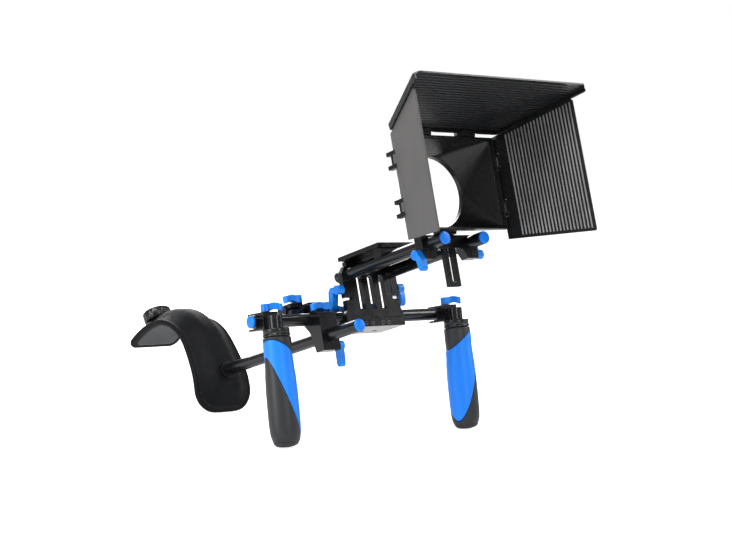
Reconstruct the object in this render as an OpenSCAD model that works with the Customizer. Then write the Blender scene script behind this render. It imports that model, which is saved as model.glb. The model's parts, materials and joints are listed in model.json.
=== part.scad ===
// Shoulder-mounted camera support rig: twin rails with a shade box, a raised
// bracket on a cross rod with two grips, and a shoulder pad on an offset rod.
// Every piece is drawn in level rig axes (lens towards -Y, +Z up, rail axes at z = 0)
// and stand() then tips the whole rig nose-up onto its two grips and its pad.

/* [Rods] */
// Diameter of every main rod
rod_d = 15; // [15:1:15]
// Distance between the two rail axes
rail_pitch = 60; // [60:1:60]
// Length of each rail with its two end caps
rail_len = 197; // [190:1:215]
// Bore of the rod tubes
rod_bore = 11; // [9:0.5:12]
// Length of the cross rod with its end caps
cross_len = 305.5; // [304:0.5:320]
// Left end of the cross rod
cross_left = -177.5; // [-185:0.5:-177]
// Thickness of a rod end cap
cap_t = 3.5; // [2.5:0.5:4]

/* [Raised bracket] */
// Width of the bracket across its jaws
bracket_w = 84; // [84:1:88]
// Front face of the bracket behind the front of the rails
bracket_y = 175.5; // [174:0.5:178]
// Thickness of the upright slotted plate
plate_t = 7; // [7:0.5:8]
// Depth of the bottom clamp block
block_depth = 48.5; // [46:0.5:56]
// Width of each upright slot
slot_w = 8; // [6:0.5:9]
// Distance between slot centres
slot_pitch = 17; // [15:0.5:18]

/* [Shade box] */
// Width of the shade box frame
frame_w = 146; // [140:1:150]
// Height of the shade box frame
frame_h = 109; // [104:1:112]
// Diameter of the lens opening
lens_d = 85; // [76:1:86]
// Length of a side flap from hinge to front edge
flap_len = 104; // [90:1:106]
// Angle of a side flap away from straight ahead
flap_splay = 24.4; // [18:0.1:28]
// Depth of the top flap from hinge to front edge
top_len = 116; // [100:1:118]
// Rise of the top flap towards its front edge
top_rise = 12; // [11:0.5:13]

/* [Grips] */
// Diameter of a grip at its widest
grip_d = 36; // [34:0.5:37]
// Length of a grip from collar to rounded end
grip_len = 134; // [128:0.5:140]
// Swing of both grips about the cross rod
grip_swing = 6; // [3:0.5:8]
// Position of the left grip along the cross rod
grip_left = -157.5; // [-162:0.5:-150]
// Position of the right grip along the cross rod
grip_right = 118.5; // [108:0.5:118.5]

/* [Shoulder pad] */
// Width of the pad
pad_w = 80; // [74:1:90]
// Thickness of the pad
pad_t = 10; // [10:0.5:11]
// Radius of the pad over the front of the shoulder
pad_r = 75; // [72:0.5:80]
// Lean of the front flap
pad_lean = 9; // [6:0.5:12]
// Radius of the pad over the rear of the shoulder
pad_rear_r = 150; // [140:1:180]
// Angle that the rear of the pad turns down
pad_rear_turn = 25; // [20:0.5:26]
// Length of the straight front flap below the curve
pad_drop = 69; // [66:1:74]

/* [Hidden] */

$fn = 48;
eps = 0.01;
azure = [0.02, 0.42, 0.95];
black = [0.09, 0.09, 0.1];
grey = [0.3, 0.3, 0.32];
steel = [0.7, 0.7, 0.72];

rail_x = rail_pitch / 2;
rod_r = rod_d / 2;
// Radial clearance of a rod in its clamp
fit = 0.05;
bore_r = rod_r + fit;

// Cross rod axis
cross_y = 187;
cross_z = -51;
cross_right = cross_left + cross_len;

// Bracket heights
jaw_x = bracket_w / 2;
bracket_top = 9.5;
block_top = -42;
block_bottom = -64.5;
notch_z = -31.6;
jaw_bottom = -28.4;
slit_x = 31;
slit = 1;
stud_r = 2.4;
stud_hole_r = 2.5;
lever_w = 8;
lever_gap = 0.3;
lever_z = -18.5;
bracket_back = bracket_y + plate_t;
lever_y = bracket_y + plate_t / 2;

// Camera plate
plate_front = 103;
plate_back = 178;
plate_half = 42;
plate_z = 15;
cam_plate_t = 5;
tongue_h = 2.2;
slide_gap = 0.1;
screw_y = 140;

// Shade box carriage on the rails
mc_y = 28;
mc_t = 12;
mc_top = 9.5;
mc_bridge = -5.7;
mc_jaw = -17.7;
mc_inner = 25.5;
mc_lever_z = -12.3;
post_w = 18.5;
post_t = 4.8;
post_y = 30.1;
post_bottom = -49.5;
post_bolt_z = 2;

// Shade box frame and hinges
frame_y = 4;
frame_bottom = 10.5;
frame_top = frame_bottom + frame_h;
lens_z = 62.5;
ring_y = 38;
ring_t = 6;
ring_r = 47;
wall = 2;
side_pin_x = frame_w / 2 + 4;
side_pin_y = 8;
pin_r = 1.5;
knuckle_r = 3;
clip_z = [36, 91];
clip_h = 20;
clip_bar = 4.5;
flap_t = 2.4;
flap_root = 4.6;
side_root = -1.5;
flap_z0 = -0.5;
flap_z1 = 120.5;
flap_drop = 14;
flap_climb = 20.5;
flap_corner = 2.5;
top_pin_y = 8;
top_pin_z = 123.2;
top_half_rear = 82.8;
top_half_front = 129;
top_lip = 7;
top_knuckle_x = 34;
top_knuckle_w = 20;
top_plate_z = 5.6;

// Offset clamp and shoulder rod
arm_x = -78.5;
arm_w = 25;
shoulder_x = -78.5;
shoulder_z = -73.4;
shoulder_front = 112;
shoulder_back = 393;
arm_front = 169;
arm_lever_y = 177;
arm_lever_z = -85;
arm_top = -42.3;
top_lever_x = -69.5;

// Accessory clamp
acc_y = 208;
acc_z = -35.5;
acc_r = 5.5;
acc_x = -100.5;
acc_w = 18;
acc_half = 6.5;
acc_lever_x = -95;
acc_lever_y = 199;

// Handle parts in their own axes, with the cross rod axis at the origin
hc_w = 21;
hc_top = 10;
hc_front = -14.5;
hc_back = 15.5;
boss_y = -22.5;
boss_r = 8.6;
boss_top = 5;
boss_bottom = -10;
stud_y = -6.2;
stud_tip = 6.8;
collar_h = 9;
collar_r = 15.4;
end_r = 27;
grip_bottom = boss_bottom - grip_len;
end_cap_h = 5;
end_cap_r = 14.4;
grip_lever_a = [-20, -48];
grip_lever_l = [8, 9];
core_r = 9;

// Pad
pad_cz = -62;
pad_cy = 480;
pad_x = -78.5;
pad_end_r = pad_t / 2;
lining_t = 2;
pad_plate_t = 2;
pad_rim = 8;
socket_r = 10.5;
pad_knob_turn = 14.9;
pad_knob_r = 19;
pad_knob_h = 26.5;
pad_knob_neck = 12;
pad_crown = 5;
pad_corner = 27;
pad_tail_corner = 14;

// Tipping of the rig onto its grips and pad
function turn(p, a) = [p[0] * cos(a) - p[1] * sin(a), p[0] * sin(a) + p[1] * cos(a)];
grip_foot = [cross_y, cross_z] + turn([boss_y, grip_bottom + end_r], grip_swing);
pad_foot = [pad_cy, pad_cz] + turn([pad_end_r - pad_r, -pad_drop], -pad_lean);
foot_span = pad_foot - grip_foot;
pitch = asin((end_r - pad_end_r) / norm(foot_span)) + atan2(foot_span[1], foot_span[0]);
lift = end_r - turn(grip_foot, -pitch)[1];
flap_tip = [side_pin_y - (flap_len - flap_corner) * cos(flap_splay) - flap_t / 2 * sin(flap_splay),
    flap_z0 - flap_drop + flap_corner];
front_reach = turn(flap_tip, -pitch)[0] - flap_corner * norm([cos(flap_splay) * cos(pitch), sin(pitch)]);
rear_tip = [pad_cy, pad_cz + pad_r - pad_rear_r]
    + turn([0, pad_rear_r - pad_end_r], -pad_rear_turn);
knob_tip = [pad_cy, pad_cz + pad_r - pad_rear_r]
    + turn([pad_knob_r, pad_rear_r + pad_knob_h], -pad_knob_turn);
rear_reach = max(turn(rear_tip, -pitch)[0] + pad_end_r, turn(knob_tip, -pitch)[0]);
mid_y = (front_reach + rear_reach) / 2;
right_reach = grip_right + grip_lever_l[0] * cos(grip_lever_a[0])
    + grip_lever_l[1] * cos(grip_lever_a[1]) + 3.3;
mid_x = (cross_left + right_reach) / 2;

module stand() {
    translate([-mid_x, -mid_y, lift]) rotate([-pitch, 0, 0]) children();
}

// A solid cylinder along X, from x0 to x1
module bar_x(x0, x1, y, z, r) {
    translate([x0, y, z]) rotate([0, 90, 0]) cylinder(r = r, h = x1 - x0);
}

// A solid cylinder along Y, from y0 to y1
module bar_y(x, y0, y1, z, r) {
    translate([x, y0, z]) rotate([-90, 0, 0]) cylinder(r = r, h = y1 - y0);
}

// A solid cylinder along Z, from z0 to z1
module bar_z(x, y, z0, z1, r) {
    translate([x, y, z0]) cylinder(r = r, h = z1 - z0);
}

// A block given by its two opposite corners
module block(a, b) {
    translate(a) cube(b - a);
}

// A flat outline in Y and Z, extruded along X from x0 to x1
module slab_x(x0, x1) {
    translate([x0, 0, 0]) rotate([90, 0, 90]) linear_extrude(x1 - x0) children();
}

// A flat outline in X and Z, extruded along Y from y0 to y1
module slab_y(y0, y1) {
    translate([0, y1, 0]) rotate([90, 0, 0]) linear_extrude(y1 - y0) children();
}

// A rod tube between its two caps, along Y
module tube_y(x, y0, y1, z) {
    difference() {
        bar_y(x, y0, y1, z, rod_r);
        bar_y(x, y0 - 1, y1 + 1, z, rod_bore / 2);
    }
}

// A rod end cap along Y: dir is 1 where the plug points towards +Y
module cap_y(x, y, z, dir) {
    translate([x, y, z]) rotate([dir > 0 ? -90 : 90, 0, 0]) cap();
}

// A domed end cap with its plug, face at z = 0 and plug upwards
module cap() {
    color(azure) {
        cylinder(r = rod_r - 0.3, h = cap_t);
        translate([0, 0, cap_t]) cylinder(r = rod_bore / 2 - 0.02, h = 6);
    }
}

// The outline of a thumb lever: a round head and an arm with one bend
module lever_outline(a1, l1, a2, l2) {
    arm = 3;
    circle(r = 5.6);
    rotate(a1) translate([0, -arm]) square([l1, 2 * arm]);
    rotate(a1) translate([l1, 0]) {
        circle(r = arm + 0.3);
        rotate(a2 - a1) translate([0, -arm]) square([l2, 2 * arm]);
        rotate(a2 - a1) translate([l2, 0]) circle(r = arm + 0.3);
    }
}

// A lever that turns about an X axis, drawn from x0 towards +X
module lever_x(x0, y, z, a1, l1, a2, l2) {
    color(azure) translate([0, y, z]) slab_x(x0, x0 + lever_w) lever_outline(a1, l1, a2, l2);
}

// A lever that turns about a Z axis, drawn from z0 upwards
module lever_z_up(x, y, z0, a1, l1, a2, l2) {
    color(azure) translate([x, y, z0]) linear_extrude(lever_w) lever_outline(a1, l1, a2, l2);
}

// Half of a jaw pair outline on the +X side: jaw, slit under the rail and its bore
module jaw_cuts(bottom) {
    translate([rail_x, 0]) circle(r = bore_r);
    translate([slit_x - slit / 2, bottom - 1]) square([slit, -bottom - rod_r + 3]);
}

/* Raised bracket */
module riser_outline() {
    polygon([[-jaw_x, jaw_bottom], [jaw_x, jaw_bottom], [jaw_x, 1], [jaw_x - 6, bracket_top],
        [6 - jaw_x, bracket_top], [-jaw_x, 1]]);
    translate([-slit_x - slit / 2, block_top]) square([2 * slit_x + slit, jaw_bottom - block_top + 1]);
    translate([-jaw_x + 0.5, block_top - 3]) square([2 * jaw_x - 1, notch_z - block_top + 3]);
    translate([-33, bracket_top - 1]) square([66, plate_z - bracket_top + 1]);
}

module riser_slots() {
    bottom = -43.5 + slot_w / 2;
    top = -2 - slot_w / 2;
    for (i = [-1:1]) translate([i * slot_pitch, 0]) {
        translate([0, bottom]) circle(r = slot_w / 2);
        translate([0, top]) circle(r = slot_w / 2);
        translate([-slot_w / 2, bottom]) square([slot_w, top - bottom]);
    }
}

module block_outline() {
    edge = jaw_x - 0.5;
    foot = jaw_x + 2.5;
    polygon([[-edge, block_top], [edge, block_top], [edge, block_top - 2], [foot, block_top - 5.5],
        [foot, block_bottom], [-foot, block_bottom], [-foot, block_top - 5.5], [-edge, block_top - 2]]);
}

screw_x = [-16, -6, 9.6, 19];
screw_z = -60.6;
lock_y = 212;
lock_x = [-24, 28];
under_x = [-20, 0, 20];
under_y = 206;

module riser_bracket() {
    back = bracket_y + block_depth;
    color(black) difference() {
        union() {
            slab_y(bracket_y, bracket_back) difference() {
                riser_outline();
                riser_slots();
                jaw_cuts(jaw_bottom);
                mirror([1, 0]) jaw_cuts(jaw_bottom);
            }
            slab_y(bracket_y, back) block_outline();
        }
        bar_x(-60, 60, cross_y, cross_z, bore_r);
        // The slots run on into the front of the block
        translate([0, bracket_y - 1, 0]) for (i = [-1:1])
            block([i * slot_pitch - slot_w / 2, 0, -43.5], [i * slot_pitch + slot_w / 2, 4, -41]);
        // Split line of the cross rod clamp
        block([-5, bracket_y - 1, -54.4], [60, cross_y - rod_r + 1, -53.7]);
        block([-5.8, bracket_y - 1, -54.4], [-5, cross_y - rod_r + 1, -46]);
        for (x = screw_x) {
            bar_y(x, bracket_y - 1, bracket_y + 2.2, screw_z, 2.6);
            bar_y(x, bracket_y - 1, bracket_y + 14.2, screw_z, 1.6);
        }
        bar_y(18, bracket_y - 1, bracket_y + 2, -49, 0.9);
        // Pinch holes of the two jaws
        bar_x(-jaw_x - 1, -24.8, lever_y, lever_z, stud_hole_r);
        bar_x(24.8, jaw_x + 1, lever_y, lever_z, stud_hole_r);
        for (x = lock_x) bar_z(x, lock_y, -56.2, block_top + 1, stud_hole_r);
        for (x = under_x) bar_z(x, under_y, block_bottom - 1, block_bottom + 9, 3.175);
    }
}

module riser_screws() {
    color(steel) for (x = screw_x) difference() {
        union() {
            bar_y(x, bracket_y - 0.2, bracket_y + 2.2, screw_z, 2.55);
            bar_y(x, bracket_y, bracket_y + 14, screw_z, 1.55);
        }
        translate([x, bracket_y - 1, screw_z]) rotate([-90, 0, 0]) cylinder(r = 1.3, h = 2.4, $fn = 6);
    }
}

module riser_lever_left() {
    x1 = -jaw_x - lever_gap;
    lever_x(x1 - lever_w, lever_y, lever_z, 8, 11, -78, 20);
    color(azure) bar_x(x1 - 1, -25, lever_y, lever_z, stud_r);
}

module riser_lever_right() {
    x0 = jaw_x + lever_gap;
    lever_x(x0, lever_y, lever_z, -92, 5, -90, 14);
    color(azure) bar_x(25, x0 + 1, lever_y, lever_z, stud_r);
}

module rod_lock_lever(x, a1, a2, l2) {
    lever_z_up(x, lock_y, block_top + lever_gap, a1, 10, a2, l2);
    color(azure) bar_z(x, lock_y, -56, block_top + 1, stud_r);
}

module rod_lock_lever_left() {
    rod_lock_lever(lock_x[0], -150, 178, 14);
}

module rod_lock_lever_right() {
    rod_lock_lever(lock_x[1], -115, 178, 14);
}

/* Rails */
module rail(x) {
    color(black) tube_y(x, cap_t, rail_len - cap_t, 0);
}

module rail_left() {
    rail(-rail_x);
}

module rail_right() {
    rail(rail_x);
}

module rail_caps() {
    for (x = [-rail_x, rail_x]) {
        cap_y(x, 0, 0, 1);
        cap_y(x, rail_len, 0, -1);
    }
}

/* Camera plate */
module plate_base() {
    color(black) difference() {
        union() {
            block([-20, 106, 8.2], [20, bracket_y, plate_z - slide_gap]);
            block([-37, 106, 4], [37, 118, plate_z - slide_gap]);
            block([-18, 110, plate_z - 1], [-14, 170, plate_z + tongue_h]);
            block([14, 110, plate_z - 1], [18, 170, plate_z + tongue_h]);
        }
        for (x = [-rail_x, rail_x]) bar_y(x, 100, 124, 0, bore_r);
    }
}

module camera_plate() {
    edge = plate_half;
    top = plate_z + cam_plate_t;
    color(black) difference() {
        block([-edge, plate_front, plate_z], [edge, plate_back, top]);
        block([-edge + 2, plate_front - 1, plate_z - 1], [-edge + 5.2, plate_front + 6, top + 1]);
        for (x = [-16, 16])
            block([x - 2.1, plate_front + 1, plate_z - 1], [x + 2.1, plate_back + 1, plate_z + tongue_h + 0.1]);
        bar_z(0, screw_y, plate_z - 1, plate_z + 3, 8.1);
        bar_z(0, screw_y, plate_z, top + 1, 3.3);
    }
}

module plate_mat() {
    color(grey) difference() {
        block([-37, plate_front + 5, plate_z + cam_plate_t], [37, plate_back - 5, plate_z + cam_plate_t + 1.5]);
        bar_z(0, screw_y, plate_z, plate_z + 10, 5);
    }
}

module camera_screw() {
    shank_top = plate_z + cam_plate_t + 1.7;
    color(steel) {
        bar_z(0, screw_y, plate_z + 0.1, plate_z + 2.9, 8);
        bar_z(0, screw_y, plate_z + 1, shank_top, 3);
        bar_z(0, screw_y, shank_top, shank_top + 5.5, 3.175);
    }
}

/* Shade box carriage */
module carriage_outline() {
    translate([-jaw_x, mc_bridge]) square([2 * jaw_x, mc_top - mc_bridge]);
    for (s = [0, 1]) mirror([s, 0]) {
        polygon([[12, mc_bridge + 1], [14, mc_bridge - 0.6], [19, mc_bridge - 1], [mc_inner, mc_jaw],
            [jaw_x, mc_jaw], [jaw_x, mc_bridge + 1]]);
    }
}

module matte_clamp() {
    color(black) difference() {
        slab_y(mc_y, mc_y + mc_t) difference() {
            carriage_outline();
            jaw_cuts(mc_jaw);
            mirror([1, 0]) jaw_cuts(mc_jaw);
        }
        block([-post_w / 2 - 0.1, post_y - 0.1, -30], [post_w / 2 + 0.1, post_y + post_t + 0.1, 20]);
        bar_y(0, mc_y - 1, mc_y + mc_t + 1, post_bolt_z, 2.1);
        bar_x(-jaw_x - 1, -25, mc_y + mc_t / 2, mc_lever_z, stud_hole_r);
        bar_x(25, jaw_x + 1, mc_y + mc_t / 2, mc_lever_z, stud_hole_r);
    }
}

module matte_lever_left() {
    lever_x(-jaw_x - lever_gap - lever_w, mc_y + mc_t / 2, mc_lever_z, -140, 6, -104, 13);
}

module matte_stud_left() {
    color(steel) bar_x(-jaw_x - lever_gap, -25.2, mc_y + mc_t / 2, mc_lever_z, stud_r);
}

module matte_lever_right() {
    lever_x(jaw_x + lever_gap, mc_y + mc_t / 2, mc_lever_z, 40, 7, 80, 8);
}

module matte_stud_right() {
    color(steel) bar_x(25.2, jaw_x + lever_gap, mc_y + mc_t / 2, mc_lever_z, stud_r);
}

module matte_post() {
    color(black) difference() {
        block([-post_w / 2, post_y, post_bottom], [post_w / 2, post_y + post_t, frame_bottom]);
        bar_y(0, 20, 50, post_bottom + 4.5 + 2.75, 2.75);
        bar_y(0, 20, 50, post_bolt_z + 3, 2.75);
        block([-2.75, 20, post_bottom + 7.25], [2.75, 50, post_bolt_z + 3]);
    }
}

module post_bolt() {
    color(steel) {
        bar_y(0, mc_y - 0.5, mc_y + mc_t, post_bolt_z, 2.05);
        bar_y(0, mc_y + mc_t, mc_y + mc_t + 5, post_bolt_z, 5);
    }
}

/* Shade box frame: a rectangular mouth that narrows to the round lens opening */
module funnel(half, bottom, top, r, y0, y1) {
    hull() {
        block([-half, y0, bottom], [half, y0 + 0.5, top]);
        bar_y(0, y1 - 0.5, y1, lens_z, r, $fn = 64);
    }
}

module matte_frame() {
    half = frame_w / 2;
    color(black) difference() {
        union() {
            block([-half, frame_y, frame_bottom], [half, frame_y + 6, frame_top]);
            funnel(half, frame_bottom, frame_top, ring_r, frame_y + 5, ring_y);
            // Foot that joins the frame to the top of the post
            block([-12, post_y - 4, frame_bottom], [12, post_y + post_t + 4, frame_bottom + 12]);
        }
        funnel(half - wall, frame_bottom + wall, frame_top - wall, lens_d / 2, frame_y - 1, ring_y + 0.5);
        block([-half + wall, frame_y - 1, frame_bottom + wall], [half - wall, frame_y + 3, frame_top - wall]);
        bar_y(0, ring_y - 1, ring_y + 9, lens_z, lens_d / 2);
        bar_y(0, ring_y, ring_y + 20, lens_z, ring_r + 1);
    }
}

module lens_ring() {
    color(grey) difference() {
        bar_y(0, ring_y, ring_y + ring_t, lens_z, ring_r);
        bar_y(0, ring_y - 1, ring_y + ring_t + 1, lens_z, lens_d / 2);
    }
}

// One pair of bars that carries a side flap's hinge pin
module side_clip(z) {
    x0 = frame_w / 2;
    for (s = [-1, 1]) {
        z0 = z + s * (clip_h - clip_bar) / 2 - clip_bar / 2;
        difference() {
            block([x0, 5.2, z0], [side_pin_x + 2.6, 20, z0 + clip_bar]);
            bar_z(side_pin_x, side_pin_y, z0 - 1, z0 + clip_bar + 1, pin_r);
        }
    }
    block([x0, 13, z - clip_h / 2 + 1], [x0 + 3, 17, z + clip_h / 2 - 1]);
}

module top_lug(x) {
    difference() {
        union() {
            bar_x(x - 1.8, x + 1.8, top_pin_y, top_pin_z, knuckle_r);
            block([x - 1.8, top_pin_y - 2, frame_top], [x + 1.8, top_pin_y + 2, top_pin_z]);
        }
        bar_x(x - 3, x + 3, top_pin_y, top_pin_z, pin_r);
    }
}

module hinge_brackets() {
    reach = top_knuckle_w / 2 + 2.1;
    color(black) {
        for (s = [0, 1]) mirror([s, 0, 0]) {
            for (z = clip_z) side_clip(z);
            top_lug(top_knuckle_x - reach);
            top_lug(top_knuckle_x + reach);
        }
    }
}

module hinge_pins() {
    reach = top_knuckle_w / 2 + 3.9;
    color(steel) for (s = [0, 1]) mirror([s, 0, 0]) {
        for (z = clip_z) bar_z(side_pin_x, side_pin_y, z - clip_h / 2, z + clip_h / 2, pin_r);
        bar_x(top_knuckle_x - reach, top_knuckle_x + reach, top_pin_y, top_pin_z, pin_r);
    }
}

// Plan of the top flap, x across and y forward from the hinge
module top_outline(inset) {
    r = 8;
    wide = top_half_front - inset - r;
    front = top_len - inset - r;
    difference() {
        polygon(concat(
            [[-top_half_rear + inset, flap_root], [top_half_rear - inset, flap_root]],
            [for (a = [0:15:90]) [wide + r * cos(a), front + r * sin(a)]],
            [for (a = [90:15:180]) [-wide + r * cos(a), front + r * sin(a)]]));
        translate([-top_knuckle_x - 14, 0]) square([28, flap_root + 1]);
        translate([top_knuckle_x - 14, 0]) square([28, flap_root + 1]);
    }
}

module top_flap() {
    color(black) translate([0, top_pin_y, top_pin_z]) rotate([-top_rise, 0, 0]) {
        mirror([0, 1, 0]) {
            translate([0, 0, top_plate_z - 2]) linear_extrude(2) top_outline(0);
            translate([0, 0, top_plate_z - top_lip]) linear_extrude(top_lip - 1) difference() {
                top_outline(0);
                polygon([[-top_half_rear + 2, flap_root + 2], [top_half_rear - 2, flap_root + 2],
                    [top_half_front + 1, top_len + 1], [-top_half_front - 1, top_len + 1]]);
            }
            for (s = [-1, 1]) translate([s * top_knuckle_x, 0, 0]) difference() {
                union() {
                    translate([-top_knuckle_w / 2, 0, 0]) rotate([0, 90, 0])
                        cylinder(r = knuckle_r, h = top_knuckle_w);
                    translate([-top_knuckle_w / 2, 0, 0]) cube([top_knuckle_w, 8, 3]);
                    translate([-top_knuckle_w / 2, 5.8, 0]) cube([top_knuckle_w, 2.2, top_plate_z - 1]);
                }
                translate([-20, 0, 0]) rotate([0, 90, 0]) cylinder(r = pin_r + fit, h = 40);
            }
        }
    }
}

// Outline of a side flap, x forward from the hinge axis and y up
module flap_outline() {
    r = flap_corner;
    difference() {
        union() {
            polygon([[side_root, flap_z0], [flap_len - r, flap_z0 - flap_drop], [flap_len, flap_z0 - flap_drop + r],
                [flap_len, flap_z1 + flap_climb - r], [flap_len - r, flap_z1 + flap_climb], [side_root, flap_z1]]);
            translate([flap_len - r, flap_z0 - flap_drop + r]) circle(r = r);
        }
        for (z = clip_z) translate([-3, z - clip_h / 2 - 0.3]) square([7.2, clip_h + 0.6]);
    }
}

// A side flap on its hinge axis, reaching forward and outwards on the +X side
module side_flap() {
    free = clip_h - 2 * clip_bar - 0.4;
    translate([side_pin_x, side_pin_y, 0]) rotate([0, 0, -90 + flap_splay]) difference() {
        union() {
            translate([0, flap_t / 2, 0]) rotate([90, 0, 0]) linear_extrude(flap_t) flap_outline();
            for (z = clip_z) {
                translate([0, 0, z - free / 2]) cylinder(r = knuckle_r, h = free);
                translate([0, -flap_t / 2, z - free / 2]) cube([flap_root + 2.5, flap_t, free]);
            }
        }
        for (z = clip_z) translate([0, 0, z - 10]) cylinder(r = pin_r + fit, h = 20);
    }
}

module left_flap() {
    color(grey) mirror([1, 0, 0]) side_flap();
}

module right_flap() {
    color(black) side_flap();
}

/* Cross rod */
module cross_rod() {
    color(black) difference() {
        bar_x(cross_left + cap_t, cross_right - cap_t, cross_y, cross_z, rod_r);
        bar_x(cross_left, cross_right, cross_y, cross_z, rod_bore / 2);
    }
}

module cross_rod_caps() {
    translate([cross_left, cross_y, cross_z]) rotate([0, 90, 0]) cap();
    translate([cross_right, cross_y, cross_z]) rotate([0, -90, 0]) cap();
}

/* Grips, drawn in axes centred on the cross rod */
module on_rod(x) {
    translate([x, cross_y, cross_z]) rotate([grip_swing, 0, 0]) children();
}

module grip_clamp(x) {
    color(black) on_rod(x) difference() {
        union() {
            block([-hc_w / 2, hc_front, -hc_top], [hc_w / 2, hc_back, hc_top]);
            block([-boss_r + 1, boss_y, boss_bottom + 2], [boss_r - 1, hc_front + 1, boss_top]);
            bar_z(0, boss_y, boss_bottom, boss_top, boss_r);
        }
        bar_x(-20, 20, 0, 0, bore_r);
        // Mouth between the two jaws
        block([-20, 1, -6], [20, 20, 6]);
        block([-20, 6, -7.6], [20, 20, 7.6]);
        bar_z(0, stud_y, 2, hc_top + 1, stud_hole_r);
    }
}

module grip_clamp_lever(x) {
    on_rod(x) lever_z_up(0, stud_y, hc_top + lever_gap, grip_lever_a[0], grip_lever_l[0],
        grip_lever_a[1], grip_lever_l[1]);
}

module grip_clamp_stud(x) {
    // The tip stops just clear of the rod
    color(steel) on_rod(x) bar_z(0, stud_y, stud_tip, hc_top + lever_gap, stud_r);
}

// Outer profile of a grip below its collar, radius against depth below the boss
module grip_profile() {
    w = grip_d / 2;
    polygon([[core_r, -collar_h], [w - 1.9, -collar_h], [w - 1.7, -20], [w - 2, -32], [w - 1.5, -44],
        [w - 0.5, -58], [w - 0.05, -74], [w, -92], [w - 0.1, -108], [w - 0.5, -117], [w - 1.3, -123],
        [w - 2.4, -127], [end_cap_r, -grip_len + end_cap_h], [core_r, -grip_len + end_cap_h]]);
}

// Where the coloured inlay lies: in front and towards the rails, cut by two slanted planes
module inlay_zone(side) {
    mirror([side < 0 ? 1 : 0, 0, 0]) intersection() {
        translate([0, 0, -78]) rotate([0, 70.5, -15]) translate([-200, -200, 0]) cube([400, 400, 400]);
        translate([0, 0, -25]) rotate([0, 35, 20]) translate([-200, -200, -400]) cube([400, 400, 400]);
        translate([0, 0, -125]) difference() {
            cylinder(r = 40, h = 125);
            cylinder(r = core_r + 3, h = 125);
        }
    }
}

module grip_shell() {
    rotate_extrude($fn = 72) grip_profile();
}

module grip_core(x) {
    color(black) on_rod(x) translate([0, boss_y, boss_bottom]) {
        translate([0, 0, -collar_h]) cylinder(r = collar_r, h = collar_h);
        translate([0, 0, -grip_len + end_cap_h]) cylinder(r = core_r, h = grip_len - end_cap_h - collar_h + 1);
    }
}

module grip_rubber(x, side) {
    color(black) on_rod(x) translate([0, boss_y, boss_bottom]) difference() {
        grip_shell();
        inlay_zone(side);
    }
}

module grip_inlay(x, side) {
    color(azure) on_rod(x) translate([0, boss_y, boss_bottom]) intersection() {
        grip_shell();
        inlay_zone(side);
    }
}

// A rounded cap whose outside is part of a ball
module grip_end(x) {
    color(black) on_rod(x) translate([0, boss_y, grip_bottom]) intersection() {
        translate([0, 0, end_r]) sphere(r = end_r, $fn = 96);
        cylinder(r = end_cap_r, h = end_cap_h);
    }
}

module left_clamp() {
    grip_clamp(grip_left);
}

module left_clamp_lever() {
    grip_clamp_lever(grip_left);
}

module left_clamp_stud() {
    grip_clamp_stud(grip_left);
}

module left_grip_core() {
    grip_core(grip_left);
}

module left_grip() {
    grip_rubber(grip_left, 1);
}

module left_grip_inlay() {
    grip_inlay(grip_left, 1);
}

module left_grip_end() {
    grip_end(grip_left);
}

module right_clamp() {
    grip_clamp(grip_right);
}

module right_clamp_lever() {
    grip_clamp_lever(grip_right);
}

module right_clamp_stud() {
    grip_clamp_stud(grip_right);
}

module right_grip_core() {
    grip_core(grip_right);
}

module right_grip() {
    grip_rubber(grip_right, -1);
}

module right_grip_inlay() {
    grip_inlay(grip_right, -1);
}

module right_grip_end() {
    grip_end(grip_right);
}

/* Offset clamp between the cross rod and the shoulder rod */
module offset_outline() {
    polygon([[arm_front, -46], [178, arm_top], [200, arm_top], [203, -46], [202, -53], [197, -59], [191, -66], [187.5, -74],
        [185.5, -84], [184, -91], [arm_front, -91]]);
}

module offset_clamp() {
    x0 = arm_x - arm_w / 2;
    x1 = arm_x + arm_w / 2;
    lug = acc_x + acc_w / 2 + 4;
    color(black) difference() {
        union() {
            slab_x(x0, x1) offset_outline();
            // Rear lug that holds the short accessory rod
            block([lug + 6, 196, -45.5], [x1, 216, acc_z + 7]);
        }
        bar_x(x0 - 1, x1 + 1, cross_y, cross_z, bore_r);
        bar_y(shoulder_x, 160, 210, shoulder_z, bore_r);
        block([shoulder_x - slit / 2, 160, -95], [shoulder_x + slit / 2, 210, shoulder_z - rod_r + 1]);
        bar_x(shoulder_x - 6, x1 + 1, arm_lever_y, arm_lever_z, stud_hole_r);
        bar_z(top_lever_x, cross_y + stud_y, -50, -40, stud_hole_r);
        bar_x(lug, x1 + 1, acc_y, acc_z, acc_r);
    }
}

module offset_top_lever() {
    lever_z_up(top_lever_x, cross_y + stud_y, arm_top + lever_gap, 170, 9, -176, 9);
}

module offset_top_stud() {
    color(steel) bar_z(top_lever_x, cross_y + stud_y, cross_z + stud_tip, arm_top + lever_gap, stud_r);
}

module offset_side_lever() {
    lever_x(arm_x + arm_w / 2 + lever_gap, arm_lever_y, arm_lever_z, -78, 8, -90, 14);
}

module offset_side_stud() {
    color(steel) bar_x(shoulder_x - 5.8, arm_x + arm_w / 2 + lever_gap, arm_lever_y, arm_lever_z, stud_r);
}

/* Accessory clamp on its short rod */
module accessory_rod() {
    color(grey) bar_x(acc_x - acc_w / 2 - 2, arm_x + arm_w / 2, acc_y, acc_z, acc_r);
}

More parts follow.
